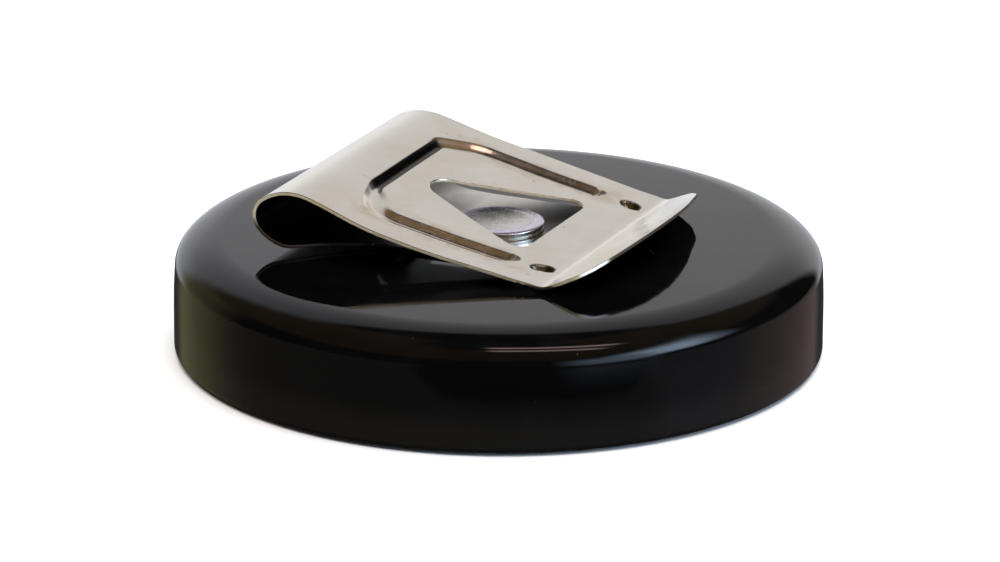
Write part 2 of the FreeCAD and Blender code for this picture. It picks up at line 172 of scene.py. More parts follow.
# ------------------------------------------------------------------ materials
def gloss_black():
    """Moulded gloss black case: deep, slightly wavy gloss with faint rub marks, specks and hairline scratches."""
    m, n, p, co = material("case_gloss_black")
    smear = n.noise(n.scaled(co, (1.0, 1.7, 1.0)), 90.0, 4.0, 0.6, 0.4)
    fine = n.noise(co, 900.0, 3.0, 0.6)
    streak = n.noise(n.scaled(co, (40.0, 1500.0, 200.0)), 1.0, 2.0, 0.5)
    marks = n.ramp(streak, 0.70, 0.80)
    specks = n.ramp(n.noise(co, 2600.0, 1.0, 0.5), 0.79, 0.84)
    base = n.mix(n.ramp(smear, 0.35, 0.75), rgb(0.0010, 0.0010, 0.0011), rgb(0.0022, 0.0021, 0.0022))
    sep = n.add("ShaderNodeSeparateXYZ")
    n.link(co, sep.inputs[0])
    # painted reflection: the base colour turns lighter towards the bottom of the wall, standing in for the pale floor
    # that the gloss would mirror
    base = n.mix(n.ramp(sep.outputs[2], 0.0015, 0.0050, 0.8, 0.0), base, rgb(0.0060, 0.0055, 0.0050))
    base = n.mix(n.math("MULTIPLY", specks, 0.5), base, rgb(0.05, 0.047, 0.045))
    n.link(base, p.inputs["Base Color"])
    rough = n.math("ADD", n.ramp(smear, 0.3, 0.8, 0.035, 0.085), n.ramp(fine, 0.35, 0.7, 0.0, 0.02))
    rough = n.math("ADD", rough, n.math("MULTIPLY", marks, 0.05))
    rough = n.math("ADD", rough, n.math("MULTIPLY", specks, 0.2))
    n.link(rough, p.inputs["Roughness"])
    p.inputs["IOR"].default_value = 1.39
    wave = n.noise(co, 55.0, 1.0, 0.4)
    nor = n.bump(wave, 0.10, 0.0006)
    peel = n.noise(co, 420.0, 2.0, 0.5)
    nor = n.bump(peel, 0.04, 0.0001, nor)
    nor = n.bump(n.math("ADD", marks, n.math("MULTIPLY", specks, 2.0)), 0.08, 0.00003, nor)
    n.link(nor, p.inputs["Normal"])
    return m


def nickel(name="clip_nickel"):
    """Nickel plated spring strip: warm grey, satin from rolling, with faint stains, pits and handling marks, and
    painted shade in the channel, the pits and under the arm.
    """
    m, n, p, co = material(name)
    rolled = n.noise(n.scaled(co, (60.0, 1900.0, 60.0)), 1.0, 3.0, 0.6)
    cloud = n.noise(co, 150.0, 4.0, 0.62, 0.3)
    stain = n.noise(co, 330.0, 4.0, 0.7, 0.6)
    grain = n.noise(co, 3800.0, 2.0, 0.6)
    pits = n.ramp(n.noise(co, 1500.0, 1.0, 0.5), 0.775, 0.815)
    base = n.mix(n.ramp(cloud, 0.3, 0.7), rgb(0.86, 0.81, 0.71), rgb(0.93, 0.89, 0.80))
    base = n.mix(n.math("MULTIPLY", n.ramp(stain, 0.60, 0.78), 0.30), base, rgb(0.62, 0.50, 0.36))
    # tarnish in and round the pressed channel
    sep = n.add("ShaderNodeSeparateXYZ")
    n.link(co, sep.inputs[0])
    wide = n.noise(co, 420.0, 3.0, 0.6, 0.5)
    side = n.math("ABSOLUTE", n.math("ADD", n.math("ABSOLUTE", n.math("ADD", sep.outputs[1], -0.0001)), -0.0113))
    near = n.math("MULTIPLY", n.ramp(side, 0.0006, 0.0030, 1.0, 0.0), n.math("MULTIPLY", n.ramp(sep.outputs[0], -0.0112, -0.0085), n.ramp(sep.outputs[0], 0.0060, 0.0105, 1.0, 0.0)))
    near = n.math("MULTIPLY", near, n.ramp(wide, 0.38, 0.62, 0.15, 1.0))
    base = n.mix(n.math("MULTIPLY", near, 0.62), base, rgb(0.64, 0.49, 0.31))
    base = n.mix(n.math("MULTIPLY", pits, 0.7), base, rgb(0.18, 0.14, 0.10))
    x, y, z = sep.outputs[0], sep.outputs[1], sep.outputs[2]
    # painted shade and painted dark reflection: near-black in the channel wall across the loop side, on the lower leaf
    # under the arm, round the loop's lower curve, and in the two pits and the channel ends, darker on their lip side
    painted_shade = n.math("MULTIPLY", n.math("MULTIPLY", n.ramp(x, -0.01140, -0.01112), n.ramp(x, -0.01045, -0.01015, 1.0, 0.0)),
                   n.math("MULTIPLY", n.ramp(y, -0.0062, -0.0052), n.ramp(y, 0.0090, 0.0097, 1.0, 0.0)))
    painted_shade = n.math("MAXIMUM", painted_shade, n.math("MULTIPLY", n.ramp(z, 0.01210, 0.01235, 1.0, 0.0), n.ramp(x, 0.0066, 0.0072, 1.0, 0.0)))
    painted_shade = n.math("MAXIMUM", painted_shade, n.math("MULTIPLY", n.ramp(z, 0.01260, 0.01330, 1.0, 0.0), n.ramp(x, -0.0120, -0.0110, 1.0, 0.0)))
    for px, py, lean, rx, ry, low in ((0.00945, -0.01045, 0.20, 0.00130, 0.00095, 0.72), (0.0093, 0.0111, -0.22, 0.00130, 0.00095, 0.72),
                                      (0.0062, -0.01045, -0.1, 0.00095, 0.00085, 0.0), (0.0055, 0.01150, 0.1, 0.00095, 0.00085, 0.0)):
        dx = n.math("ADD", x, -px)
        dy = n.math("ADD", n.math("ADD", y, -py), n.math("MULTIPLY", dx, -lean))
        ring = n.math("ADD", n.math("POWER", n.math("MULTIPLY", n.math("ABSOLUTE", dx), 1.0 / rx), 2.0),
                      n.math("POWER", n.math("MULTIPLY", n.math("ABSOLUTE", dy), 1.0 / ry), 2.0))
        spot = n.ramp(ring, 0.55, 1.05, 1.0, 0.0)
        painted_shade = n.math("MAXIMUM", painted_shade, n.math("MULTIPLY", spot, n.ramp(dx, -0.00010, 0.00035, low, 1.0)))
    # painted shade: the masked places take a near-black colour
    base = n.mix(n.math("MULTIPLY", painted_shade, 0.93), base, rgb(0.020, 0.016, 0.012))
    n.link(base, p.inputs["Base Color"])
    p.inputs["Metallic"].default_value = 1.0
    rough = n.math("ADD", n.ramp(rolled, 0.3, 0.7, 0.18, 0.22), n.ramp(cloud, 0.3, 0.75, 0.0, 0.06))
    rough = n.math("ADD", rough, n.math("MULTIPLY", pits, 0.2))
    n.link(rough, p.inputs["Roughness"])
    nor = n.bump(rolled, 0.010, 0.00002)
    nor = n.bump(grain, 0.06, 0.00001, nor)
    nor = n.bump(pits, -0.25, 0.00003, nor)
    n.link(nor, p.inputs["Normal"])
    return m


def inner_nickel():
    """The strip's inner side: the same plating, left dull and darker, with painted shade inside the loop, on the lower
    leaf under the arm, and under the arm and the lip.
    """
    m, n, p, co = material("clip_nickel_inner")
    sep = n.add("ShaderNodeSeparateXYZ")
    n.link(co, sep.inputs[0])
    cloud = n.noise(co, 150.0, 4.0, 0.62, 0.3)
    grain = n.noise(co, 3800.0, 2.0, 0.6)
    y = n.math("ADD", sep.outputs[1], n.ramp(cloud, 0.3, 0.7, -0.0012, 0.0012))
    # painted shade: darkening inside the loop and on the lower leaf under the arm
    deep = n.math("MULTIPLY", n.ramp(sep.outputs[0], -0.0085, -0.0040, 1.0, 0.0), n.ramp(y, 0.0020, 0.0105, 1.0, 0.0))
    deep = n.math("MAXIMUM", deep, n.math("MULTIPLY", n.ramp(sep.outputs[0], -0.0012, 0.0046, 0.0, 0.93), n.ramp(sep.outputs[1], -0.0025, 0.0020)))
    # painted shade on the underside of the arm and of the lip
    deep = n.math("MAXIMUM", deep, n.math("MULTIPLY", n.ramp(sep.outputs[2], 0.01215, 0.01235), 0.96))
    deep = n.math("MAXIMUM", deep, n.math("MULTIPLY", n.ramp(sep.outputs[0], 0.0064, 0.0068), 0.96))
    base = n.mix(n.ramp(cloud, 0.3, 0.7), rgb(0.64, 0.60, 0.535), rgb(0.76, 0.73, 0.68))
    # painted shade: the masked places take a near-black colour
    base = n.mix(deep, base, rgb(0.030, 0.027, 0.023))
    n.link(base, p.inputs["Base Color"])
    p.inputs["Metallic"].default_value = 1.0
    n.link(n.math("ADD", n.ramp(cloud, 0.3, 0.75, 0.16, 0.24), n.math("MULTIPLY", deep, 0.12)), p.inputs["Roughness"])
    n.link(n.bump(grain, 0.06, 0.00001), p.inputs["Normal"])
    return m


def sheared():
    """The strip's cut edge: sheared metal, matt, with a straw tint and fine vertical tears."""
    m, n, p, co = material("clip_cut_edge")
    tear = n.noise(n.scaled(co, (2600.0, 2600.0, 500.0)), 1.0, 2.0, 0.6)
    patch = n.noise(co, 420.0, 3.0, 0.6)
    base = n.mix(n.ramp(patch, 0.3, 0.72), rgb(0.60, 0.50, 0.31), rgb(0.80, 0.72, 0.52))
    # painted shade: near-black brown under the loop, along the leaf and round the lip; painted highlight: near-white at
    # the lip's near end
    sep = n.add("ShaderNodeSeparateXYZ")
    n.link(co, sep.inputs[0])
    ragged = n.math("ADD", sep.outputs[2], n.ramp(patch, 0.3, 0.7, -0.0003, 0.0003))
    low = n.math("MULTIPLY", n.ramp(ragged, 0.0138, 0.0152, 1.0, 0.0), n.ramp(sep.outputs[0], -0.0092, -0.0080, 1.0, 0.0))
    low = n.math("MAXIMUM", low, n.ramp(ragged, 0.01222, 0.01240, 1.0, 0.0))
    lip = n.math("MULTIPLY", n.ramp(sep.outputs[0], 0.0132, 0.0142), n.ramp(sep.outputs[1], -0.0118, -0.0106))
    bright = n.math("MULTIPLY", n.ramp(sep.outputs[0], 0.0132, 0.0142), n.math("MULTIPLY", n.ramp(sep.outputs[1], -0.0118, -0.0106, 1.0, 0.0), n.ramp(sep.outputs[1], -0.0144, -0.0138)))
    # painted highlight: a pale gold line along the window's far cut edge, broken up by the tears
    sill = n.math("MULTIPLY", n.ramp(sep.outputs[0], -0.0090, -0.0075), n.math("MULTIPLY", n.ramp(sep.outputs[1], 0.0004, 0.0012), n.ramp(sep.outputs[1], 0.0088, 0.0094, 1.0, 0.0)))
    base = n.mix(n.math("MULTIPLY", sill, n.ramp(tear, 0.3, 0.7, 0.55, 1.0)), base, rgb(0.98, 0.84, 0.60))
    # painted shade on the masked cut edges
    base = n.mix(n.math("MAXIMUM", low, lip), base, rgb(0.055, 0.040, 0.026))
    # painted highlight at the lip's near end
    base = n.mix(bright, base, rgb(0.95, 0.95, 0.95))
    n.link(base, p.inputs["Base Color"])
    p.inputs["Metallic"].default_value = 0.35
    n.link(n.ramp(tear, 0.3, 0.7, 0.42, 0.58), p.inputs["Roughness"])
    n.link(n.bump(tear, 0.2, 0.00002), p.inputs["Normal"])
    return m


def zinc(name="rivet_zinc"):
    """Zinc passivated steel: a blue to violet film with paler yellowish patches, and fine turned rings."""
    m, n, p, co = material(name)
    sep = n.add("ShaderNodeSeparateXYZ")
    n.link(co, sep.inputs[0])
    x, y = sep.outputs[0], sep.outputs[1]
    r = n.math("SQRT", n.math("ADD", n.math("MULTIPLY", x, x), n.math("MULTIPLY", y, y)))
    film = n.noise(co, 260.0, 4.0, 0.6, 0.8)
    t = n.math("ADD", n.math("MULTIPLY", film, 0.60), n.ramp(r, 0.0024, 0.0038, 0.0, 0.32))
    ramp = n.add("ShaderNodeValToRGB")
    el = ramp.color_ramp.elements
    el[0].position, el[0].color = 0.25, rgb(0.80, 0.80, 0.74)
    el[1].position, el[1].color = 0.90, rgb(0.50, 0.64, 0.86)
    for pos_, col in ((0.42, (0.76, 0.77, 0.77)), (0.55, (0.86, 0.81, 0.90)), (0.66, (0.82, 0.78, 0.94)), (0.78, (0.88, 0.86, 0.93))):
        e = el.new(pos_)
        e.color = rgb(*col)
    t = n.math("MULTIPLY", t, n.ramp(sep.outputs[2], 0.01278, 0.01288, 0.45, 1.0))
    n.link(t, ramp.inputs["Fac"])
    grit = n.ramp(n.noise(co, 2400.0, 2.0, 0.6), 0.62, 0.74)
    base = n.mix(n.math("MULTIPLY", grit, 0.22), ramp.outputs[0], rgb(0.42, 0.40, 0.40))
    n.link(base, p.inputs["Base Color"])
    p.inputs["Metallic"].default_value = 1.0
    ring = n.noise(n.scaled(co, (1.0, 1.0, 1.0)), 700.0, 3.0, 0.6)
    n.link(n.math("ADD", n.ramp(ring, 0.3, 0.7, 0.20, 0.32), n.math("MULTIPLY", grit, 0.15)), p.inputs["Roughness"])
    wave = n.math("SINE", n.math("MULTIPLY", r, 26000.0))
    nor = n.bump(wave, 0.06, 0.00001)
    nor = n.bump(n.noise(co, 900.0, 3.0, 0.6), 0.12, 0.00004, nor)
    n.link(nor, p.inputs["Normal"])
    return m


def moulded(name, dark, light, rough, grain=2200.0, strength=0.25, ior=1.5):
    """Spark-textured moulded plastic or rubber."""
    m, n, p, co = material(name)
    tex = n.noise(co, grain, 3.0, 0.6)
    cloud = n.noise(co, 120.0, 3.0, 0.6)
    n.link(n.mix(n.ramp(cloud, 0.3, 0.7), dark, light), p.inputs["Base Color"])
    n.link(n.math("ADD", n.ramp(tex, 0.3, 0.7, rough - 0.06, rough + 0.06), n.ramp(cloud, 0.3, 0.8, 0.0, 0.08)), p.inputs["Roughness"])
    p.inputs["IOR"].default_value = ior
    n.link(n.bump(tex, strength, 0.00004), p.inputs["Normal"])
    return m


def turned(name, dark, light, rough, pitch=9000.0, strength=0.08):
    """Turned, drawn or plated metal with fine rings round the vertical axis."""
    m, n, p, co = material(name)
    sep = n.add("ShaderNodeSeparateXYZ")
    n.link(co, sep.inputs[0])
    x, y = sep.outputs[0], sep.outputs[1]
    r = n.math("SQRT", n.math("ADD", n.math("MULTIPLY", x, x), n.math("MULTIPLY", y, y)))
    wobble = n.noise(co, 500.0, 2.0, 0.5)
    wave = n.math("SINE", n.math("ADD", n.math("MULTIPLY", r, pitch), n.math("MULTIPLY", wobble, 4.0)))
    cloud = n.noise(co, 160.0, 4.0, 0.6)
    n.link(n.mix(n.ramp(cloud, 0.3, 0.7), dark, light), p.inputs["Base Color"])
    p.inputs["Metallic"].default_value = 1.0
    n.link(n.math("ADD", n.ramp(wave, -1.0, 1.0, rough - 0.04, rough + 0.04), n.ramp(cloud, 0.3, 0.8, 0.0, 0.08)), p.inputs["Roughness"])
    nor = n.bump(wave, strength, 0.00002)
    nor = n.bump(n.noise(co, 1800.0, 2.0, 0.6), 0.08, 0.00002, nor)
    n.link(nor, p.inputs["Normal"])
    return m


MAT = {
    "case": gloss_black(),
    "clip": nickel(),
    "clip_inner": inner_nickel(),
    "clip_edge": sheared(),
    "rivet": zinc(),
    "washer": zinc("washer_zinc"),
    "cover": moulded("cover_satin_black", rgb(0.010, 0.010, 0.011), rgb(0.018, 0.018, 0.019), 0.45),
    "rubber": moulded("grip_rubber", rgb(0.020, 0.020, 0.021), rgb(0.032, 0.032, 0.033), 0.78, 1500.0, 0.4),
    "liner": turned("liner_steel", rgb(0.60, 0.59, 0.57), rgb(0.70, 0.69, 0.67), 0.26),
    "screw": turned("screw_zinc", rgb(0.62, 0.63, 0.66), rgb(0.74, 0.74, 0.76), 0.24, 12000.0),
    "iron": turned("soft_iron", rgb(0.45, 0.45, 0.45), rgb(0.55, 0.55, 0.54), 0.34, 5000.0),
    "magnet": turned("magnet_nickel", rgb(0.68, 0.65, 0.60), rgb(0.76, 0.73, 0.69), 0.16, 3000.0, 0.03),
    "brass": turned("brass", rgb(0.72, 0.52, 0.24), rgb(0.82, 0.64, 0.34), 0.24, 9000.0),
    "spring": turned("spring_steel", rgb(0.30, 0.30, 0.32), rgb(0.42, 0.42, 0.44), 0.3, 6000.0),
    "fibre": moulded("fibre", rgb(0.26, 0.055, 0.035), rgb(0.34, 0.085, 0.05), 0.7, 2600.0, 0.4),
    "natural": moulded("natural_plastic", rgb(0.66, 0.64, 0.58), rgb(0.74, 0.72, 0.67), 0.42, 1800.0, 0.15),
    "foam": moulded("foam", rgb(0.07, 0.07, 0.075), rgb(0.12, 0.12, 0.125), 0.9, 1200.0, 0.9),
}


# ------------------------------------------------------------------ mesh helpers
def mesh_object(name, verts, faces, mat, normals=None):
    """An object from points in millimetres, smooth shaded, with exact point normals if given."""
    me = bpy.data.meshes.new(name)
    me.from_pydata([tuple(v) for v in np.asarray(verts, float) * MM], [], faces)
    me.update()
    for poly in me.polygons:
        poly.use_smooth = True
    if normals is not None:
        me.normals_split_custom_set_from_vertices([tuple(v) for v in normals])
    me.materials.append(MAT[mat])
    ob = bpy.data.objects.new(name, me)
    scene.collection.objects.link(ob)
    return ob


def arc(cx, cz, r, a0, a1, n):
    t = np.radians(np.linspace(a0, a1, n))
    return [(cx + r * math.cos(a), cz + r * math.sin(a)) for a in t]


def lathe(profile, steps=256):
    """Turn a closed profile of (radius, height) about Z. Points at radius 0 become one pole."""
    verts, rings = [], []
    for r, z in profile:
        if r < 1e-6:
            rings.append([len(verts)])
            verts.append((0.0, 0.0, z))
        else:
            start = len(verts)
            a = np.arange(steps) * 2 * math.pi / steps
            verts += [(r * math.cos(t), r * math.sin(t), z) for t in a]
            rings.append(list(range(start, start + steps)))
    faces = []
    count = len(rings)
    for i in range(count):
        a, b = rings[i], rings[(i + 1) % count]
        if len(a) == 1 and len(b) == 1:
            continue
        for k in range(steps):
            k2 = (k + 1) % steps
            if len(a) == 1:
                faces.append((a[0], b[k2], b[k]))
            elif len(b) == 1:
                faces.append((a[k], a[k2], b[0]))
            else:
                faces.append((a[k], a[k2], b[k2], b[k]))
    return verts, faces


def rounded(points, radii, seg=6):
    """Round the corners of a closed polygon in a plane. Anticlockwise or clockwise."""
    out = []
    n = len(points)
    for i in range(n):
        p = np.array(points[i], float)
        a = np.array(points[i - 1], float)
        b = np.array(points[(i + 1) % n], float)
        r = radii[i]
        if r <= 0:
            out.append(tuple(p))
            continue
        u, v = (a - p) / np.linalg.norm(a - p), (b - p) / np.linalg.norm(b - p)
        half = math.acos(max(-1, min(1, float(u @ v)))) / 2
        d = r / math.tan(half)
        d = min(d, 0.49 * np.linalg.norm(a - p), 0.49 * np.linalg.norm(b - p))
        r = d * math.tan(half)
        c = p + (u + v) / np.linalg.norm(u + v) * (r / math.sin(half))
        s, e = p + u * d - c, p + v * d - c
        a0, a1 = math.atan2(s[1], s[0]), math.atan2(e[1], e[0])
        da = (a1 - a0 + math.pi) % (2 * math.pi) - math.pi
        k = max(2, int(seg * abs(da) / (math.pi / 2)) + 1)
        out += [(c[0] + r * math.cos(a0 + da * j / k), c[1] + r * math.sin(a0 + da * j / k)) for j in range(k + 1)]
    return out


def turned_piece(name, points, radii, mat, node, body="puck", steps=192, seg=5, sharp=30.0):
    """A lathe piece whose profile corners are rounded. A corner on the axis stays as it is."""
    prof = rounded(points, radii, seg)
    verts, faces = lathe(prof, steps)
    ob = mesh_object(name, verts, faces, mat, None)
    bm = bmesh.new()
    bm.from_mesh(ob.data)
    bmesh.ops.recalc_face_normals(bm, faces=bm.faces)
    bm.to_mesh(ob.data)
    bm.free()
    ob.data.set_sharp_from_angle(angle=math.radians(sharp))
    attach(ob, body)
    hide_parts(node)
    return ob


# ------------------------------------------------------------------ case
RC, RA, CROWN, TOP = 32.0, 27.0, 0.146, 11.72
BARREL = 0.14
SHOULDER_W, SHOULDER_H = 5.0 - BARREL, 2.85


def case_height(r):
    r = np.asarray(r, float)
    s = np.where(r > RA, SHOULDER_H * (1 - np.sqrt(np.clip(1 - ((r - RA) / SHOULDER_W) ** 2, 0, 1))), 0.0)
    return TOP - CROWN * (r / 25.0) ** 2 - s


def make_case():
    edge = float(case_height(5.2))
    outer = [(2.4, 11.5), (5.1, 11.5), (5.2, 11.56), (5.2, edge - 0.06), (5.22, edge - 0.02), (5.27, edge)]
    outer += [(r, float(case_height(r))) for r in np.linspace(5.8, RA, 44)]
    for t in np.radians(np.linspace(2.0, 90.0, 60)):
        r = RA + SHOULDER_W * math.sin(t)
        outer.append((r, float(TOP - CROWN * (r / 25.0) ** 2 - SHOULDER_H * (1 - math.cos(t)))))
    z_wall = outer[-1][1]
    outer += [(RC - BARREL * (max(z - 4.6, 0.0) / (z_wall - 4.6)) ** 2, z) for z in np.linspace(z_wall - 0.2, 0.95, 30)]
    outer += arc(RC - 0.6, 0.8, 0.6, 0, -90, 10)
    inner = rounded([(31.0, 0.2), (30.6, 0.2), (30.6, 2.0), (30.0, 2.0), (30.0, 8.0), (27.5, 9.9), (2.4, 9.9), (2.4, 11.4)],
                    [0, 0.15, 0.06, 0.1, 0.4, 0.4, 0.1, 0], 4)
    prof = outer + inner[:-1]
    verts, faces = lathe(prof, 384)
    # screw bosses, as hollow posts standing from the roof
    for k in range(3):
        t = math.radians(90 + 120 * k)
        bx, by = 25.8 * math.cos(t), 25.8 * math.sin(t)
        loop = [(2.6, 9.95), (2.6, 2.15), (2.45, 2.0), (1.12, 2.0), (1.0, 2.12), (1.0, 7.5), (0.0, 7.5), (0.0, 9.95)]
        v2, f2 = lathe(loop, 40)
        o = len(verts)
        verts += [(x + bx, y + by, z) for x, y, z in v2]
        faces += [tuple(i + o for i in f) for f in f2]
    ob = mesh_object("case_shell", verts, faces, "case", None)
    bm = bmesh.new()
    bm.from_mesh(ob.data)
    bmesh.ops.recalc_face_normals(bm, faces=bm.faces)
    bm.to_mesh(ob.data)
    bm.free()
    ob.data.set_sharp_from_angle(angle=math.radians(28))
    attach(ob, "puck")
    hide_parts("top_shell")
    return ob


# ------------------------------------------------------------------ clip strip
T = 0.36
SEAT = 11.74                      # underside of the leaf at the rivet
NOSE = (-17.37, 15.15, 2.15)      # tight outer end of the loop: centre and outside radius
LOW = (-15.3, 17.246, 5.096)      # long arcs under and over it
HIGH = (-15.3, 12.49, 5.52)
LIFT = 0.04
LOOP_LEFT = NOSE[0] - NOSE[2]
Y_AXIS = np.array([0.0, 1.0])


def strip_path():
    """Centre line of the bent strip in X and Z, at an even pitch, from the tongue's end to the lip."""
    h2 = T / 2
    a_low = math.degrees(math.atan2(NOSE[1] - LOW[1], NOSE[0] - LOW[0])) % 360
    a_high = math.degrees(math.atan2(NOSE[1] - HIGH[1], NOSE[0] - HIGH[0]))
    join = (LOW[0] - LOW[2] * LIFT, LOW[1] - LOW[2] * math.sqrt(1 - LIFT ** 2))
    pts = [(x, SEAT + h2) for x in np.linspace(6.4, -5.2, 40)]
    pts += [(-5.2 + (join[0] + 5.2) * k, SEAT + h2 + (join[1] - SEAT) * k) for k in np.linspace(0.03, 0.99, 40)]
    pts += arc(LOW[0], LOW[1], LOW[2] - h2, 270 - math.degrees(LIFT), a_low, 30)
    pts += arc(NOSE[0], NOSE[1], NOSE[2] - h2, a_low - 1, a_high + 1, 50)
    pts += arc(HIGH[0], HIGH[1], HIGH[2] - h2, a_high, 91, 30)
    knots = [(-15.3, 18.01), (-14.2, 17.93), (-12.5, 17.50), (-11.16, 17.08), (-8.8, 16.33), (-6.4, 15.67), (-3.56, 15.05), (-1.43, 14.59),
             (0.7, 14.16), (2.8, 13.77), (4.9, 13.38), (7.0, 12.99), (9.1, 12.61), (10.6, 12.36), (11.3, 12.25), (11.75, 12.33), (12.4, 12.60),
             (13.4, 13.06), (14.5, 13.57), (15.6, 14.11), (16.7, 14.70), (17.75, 15.32)]
    kx = np.array([k[0] for k in knots]); kz = np.array([k[1] for k in knots]) - h2
    # natural cubic through the knots
    n = len(kx)
    h = np.diff(kx)
    A = np.zeros((n, n)); b = np.zeros(n)
    A[0, 0] = 1; A[-1, -1] = 1
    for i in range(1, n - 1):
        A[i, i - 1], A[i, i], A[i, i + 1] = h[i - 1], 2 * (h[i - 1] + h[i]), h[i]
        b[i] = 6 * ((kz[i + 1] - kz[i]) / h[i] - (kz[i] - kz[i - 1]) / h[i - 1])
    A[0, 0], A[0, 1] = 2 * h[0], h[0]
    b[0] = 6 * ((kz[1] - kz[0]) / h[0] - 0.0)
    m = np.linalg.solve(A, b)
    xs = np.linspace(kx[0], kx[-1], 420)
    i = np.clip(np.searchsorted(kx, xs) - 1, 0, n - 2)
    dx0, dx1 = xs - kx[i], kx[i + 1] - xs
    zs = (m[i] * dx1 ** 3 + m[i + 1] * dx0 ** 3) / (6 * h[i]) + (kz[i] / h[i] - m[i] * h[i] / 6) * dx1 + (kz[i + 1] / h[i] - m[i + 1] * h[i] / 6) * dx0
    pts += list(zip(xs, zs))
    p = np.array(pts)
    keep = np.r_[True, np.linalg.norm(np.diff(p, axis=0), axis=1) > 1e-4]
    p = p[keep]
    s = np.r_[0, np.cumsum(np.linalg.norm(np.diff(p, axis=0), axis=1))]
    step = 0.05
    u = np.arange(0, s[-1] + step / 2, step)
    q = np.c_[np.interp(u, s, p[:, 0]), np.interp(u, s, p[:, 1])]
    # soften the curve: average along its length
    for width, mask in ((16, None),):
        k = np.hanning(2 * width + 1); k /= k.sum()
        pad = np.vstack([2 * q[0] - q[width:0:-1], q, 2 * q[-1] - q[-2:-width - 2:-1]])
        sm = np.c_[np.convolve(pad[:, 0], k, "valid"), np.convolve(pad[:, 1], k, "valid")]
        q = sm
    s = np.r_[0, np.cumsum(np.linalg.norm(np.diff(q, axis=0), axis=1))]
    u = np.linspace(0, s[-1], len(q))
    q = np.c_[np.interp(u, s, q[:, 0]), np.interp(u, s, q[:, 1])]
    tan = np.gradient(q, u, axis=0)
    tan /= np.linalg.norm(tan, axis=1)[:, None]
    k = np.hanning(13); k /= k.sum()
    ang = np.unwrap(np.arctan2(tan[:, 1], tan[:, 0]))
    ang = np.convolve(np.pad(ang, 6, mode="edge"), k, "valid")
    nor = np.c_[-np.sin(ang), np.cos(ang)]
    return u, q, nor


PU, PQ, PN = strip_path()
U_END = float(PU[-1])
MID = int(np.argmin(PQ[:, 0]))                     # the loop's outermost line
UP_U, UP_X = PU[MID:], PQ[MID:, 0]
LO_U, LO_X = PU[:MID + 1][::-1], PQ[:MID + 1, 0][::-1]


def u_up(x):
    return float(np.interp(x, UP_X, UP_U))


def u_lo(x):
    return float(np.interp(x, LO_X, LO_U))


def smooth01(t):
    t = np.clip(t, 0, 1)
    return t * t * (3 - 2 * t)


def seg_dist(p, a, b):
    """Distance from points to the segment a-b, and how far along it each is, in millimetres."""
    a, b = np.array(a, float), np.array(b, float)
    d = b - a
    L = np.linalg.norm(d)
    t = np.clip(((p - a) @ d) / (L * L), 0, 1)
    c = a + t[:, None] * d
    return np.linalg.norm(p - c, axis=1), t * L


GROOVE_D = 0.58


def soft_path(points, cut):
    """A line through the points with its corners cut by a distance and bent round smoothly."""
    out = [np.array(points[0], float)]
    for i in range(1, len(points) - 1):
        p = np.array(points[i], float)
        a, b = np.array(points[i - 1], float), np.array(points[i + 1], float)
        la, lb = np.linalg.norm(a - p), np.linalg.norm(b - p)
        s, e = p + (a - p) / la * min(cut[i], 0.45 * la), p + (b - p) / lb * min(cut[i], 0.45 * lb)
        out += [(1 - t) ** 2 * s + 2 * t * (1 - t) * p + t * t * e for t in np.linspace(0, 1, 7)]
    out.append(np.array(points[-1], float))
    return [tuple(q) for q in out]


# centre line of the pressed U channel, from one open end round the loop side to the other
GROOVE = soft_path([(5.7, -10.8), (-7.9, -11.1), (-10.35, -6.2), (-10.55, 8.75), (-7.3, 11.45), (5.0, 11.1)], [0, 2.0, 0.7, 0.8, 1.3, 0])
PITS = ((9.45, -10.75, 0.20), (9.3, 10.8, -0.22))


